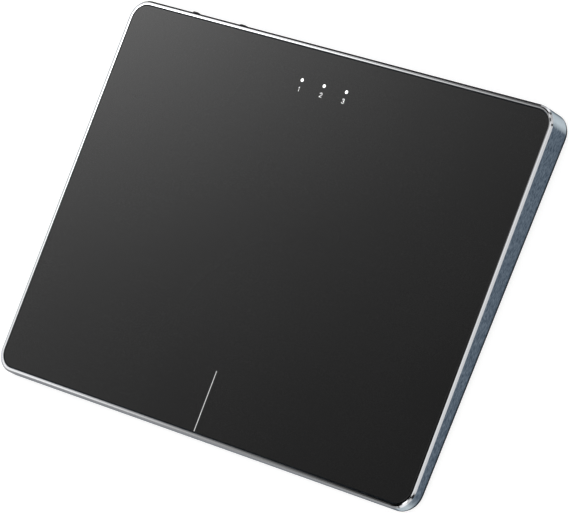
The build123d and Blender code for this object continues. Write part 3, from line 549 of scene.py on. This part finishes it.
def emitting(name, strength, body=None):
    """A finish for the studio's own surfaces, which give light, and may also be lit."""
    finish = bpy.data.materials.new(name)
    finish.use_nodes = True
    tree = finish.node_tree
    tree.nodes.clear()
    surface = Socket(tree).node("Emission", inputs={"Strength": strength(Socket(tree))})
    if body:
        matt = Socket(tree).node("BsdfDiffuse", inputs={"Color": body})
        surface = surface.node("AddShader", inputs={0: matt, 1: surface})
    end = tree.nodes.new("ShaderNodeOutputMaterial")
    tree.links.new(surface.socket, end.inputs["Surface"])
    return finish


def hang(name, bounds, height, finish):
    """A flat cloth between two x and two y, at a height."""
    left, right, front, back = bounds
    bpy.ops.object.select_all(action="DESELECT")
    bpy.ops.mesh.primitive_plane_add(size=1.0)
    cloth = bpy.context.object
    cloth.name = name
    size = Matrix.Diagonal((right - left, back - front, 1.0, 1.0))
    middle = Vector(((left + right) / 2, (front + back) / 2, height))
    cloth.data.transform(Matrix.Translation(middle) @ size)
    cloth.data.materials.append(finish)
    return cloth


def paper_glow(start):
    """The floor's own light, for the eye and for what mirrors or passes it, and for no lighting."""
    rays = ("Is Camera Ray", "Is Glossy Ray", "Is Transmission Ray")
    camera, glossy, through = (start.node("LightPath", output=ray) for ray in rays)
    return (camera + glossy + through) * FLOOR_GLOW


def cloth_glow(start):
    """Falls off to the right, and to the front and back of its brightest line."""
    place = start.node("TexCoord", output="Object")
    across = start.sum("MAXIMUM", place.part("X"), CLOTH_LEFT_END)
    back = start.sum("MAXIMUM", place.part("Y"), CLOTH_FRONT_END)
    peak = start.sum("MINIMUM", back, CLOTH_PEAK * 2 - back)
    power = (peak - across) * CLOTH_RATE + CLOTH_LEVEL
    glow = start.node("Math", {"operation": "EXPONENT"}, {0: power})
    return start.sum("MAXIMUM", glow - CLOTH_CUT, 0.0)


half = FLOOR_SIZE / 2
paper = emitting("floor_paper", paper_glow, FLOOR_PALE)
hang("floor", (-half, half, -half, half), -FLOOR_GAP, paper)
cloth = hang("graded_cloth", CLOTH, CLOTH_HEIGHT, emitting("graded_cloth", cloth_glow))
flag = hang("black_flag", FLAG, CLOTH_HEIGHT, emitting("black_flag", lambda start: 0.0))
for hung in (cloth, flag):
    hung.visible_camera = False
    hung.visible_diffuse = False

# The sky: pale, a little lighter to the left and right and duller low in front at the left, with
# two bright windows, one high in front and one lower behind. Dark battens run across it from left
# to right, and show in the bevels. A slope is a direction's y over its z.

ZENITH = 0.75
LEFT_MORE = 0.05
LEFT_PART = (0.5, 0.9)
RIGHT_MORE = 0.30
RIGHT_PART = (0.12, 0.28)
FRONT_LEVEL = 0.48
FRONT_PART = (0.42, 0.58)
FRONT_LEFT_PART = (0.0, 0.3)
HIGH = (0.5, 0.6)
WINDOW_MORE = 0.75
FRONT_WINDOW_SLOPE = (0.2, 0.3)
BACK_WINDOW_SLOPE = (1.05, 1.15)
BACK_WINDOW_FOOT = (0.45, 0.55)
WINDOW_LEFT = (-0.40, -0.25)
WINDOW_RIGHT = (0.08, 0.15)
BATTEN_END = 0.06
BATTENS = ((-0.25, 0.11, -0.20), (0.36, 0.05, -1.0), (1.01, 0.07, -1.0))

world = bpy.data.worlds.new("pale_sky")
bpy.context.scene.world = world
world.use_nodes = True
way = Socket(world.node_tree).node("TexCoord", output="Generated")
leftward = way.part("X") * -1
sky = leftward.rise(*LEFT_PART) * LEFT_MORE + ZENITH
sky = sky + way.part("X").rise(*RIGHT_PART) * RIGHT_MORE
front = (way.part("Y") * -1).rise(*FRONT_PART) * leftward.rise(*FRONT_LEFT_PART)
sky = sky * (1 - front) + front * FRONT_LEVEL

slope = way.part("Y") / way.part("Z")
window = (slope * -1).rise(*FRONT_WINDOW_SLOPE) * way.part("Z").rise(*HIGH)
window = window + slope.rise(*BACK_WINDOW_SLOPE) * way.part("Z").rise(*BACK_WINDOW_FOOT)
window = window * way.part("X").rise(*WINDOW_LEFT) * (1 - way.part("X").rise(*WINDOW_RIGHT))
sky = sky + window * WINDOW_MORE
for middle, half_width, left_end in BATTENS:
    away = (slope - middle) * (slope - middle)
    batten = away.rise(half_width ** 2 * 2, half_width ** 2 / 2) * way.part("Z").rise(*HIGH)
    sky = sky * (1 - batten * way.part("X").rise(left_end, left_end + BATTEN_END))
background = world.node_tree.nodes["Background"]
background.inputs["Color"].default_value = (1.0, 1.0, 1.0, 1.0)
world.node_tree.links.new(sky.socket, background.inputs["Strength"])

# The camera: a long lens, high on the right and a little to the front, turned so that the back
# edge runs down to the right.

SENSOR_WIDTH = 36.0
LENS = 252.32
CAMERA_PLACE = (714.94 * MM, -120.34 * MM, 880.10 * MM)
CAMERA_TURN = (22.0099, 33.5247, 26.7007)

eye = bpy.data.cameras.new("camera")
eye.sensor_width = SENSOR_WIDTH
eye.lens = LENS
camera = bpy.data.objects.new("camera", eye)
camera.location = CAMERA_PLACE
camera.rotation_euler = tuple(math.radians(angle) for angle in CAMERA_TURN)
bpy.context.scene.collection.objects.link(camera)
bpy.context.scene.camera = camera
bpy.context.scene.view_settings.view_transform = "Standard"
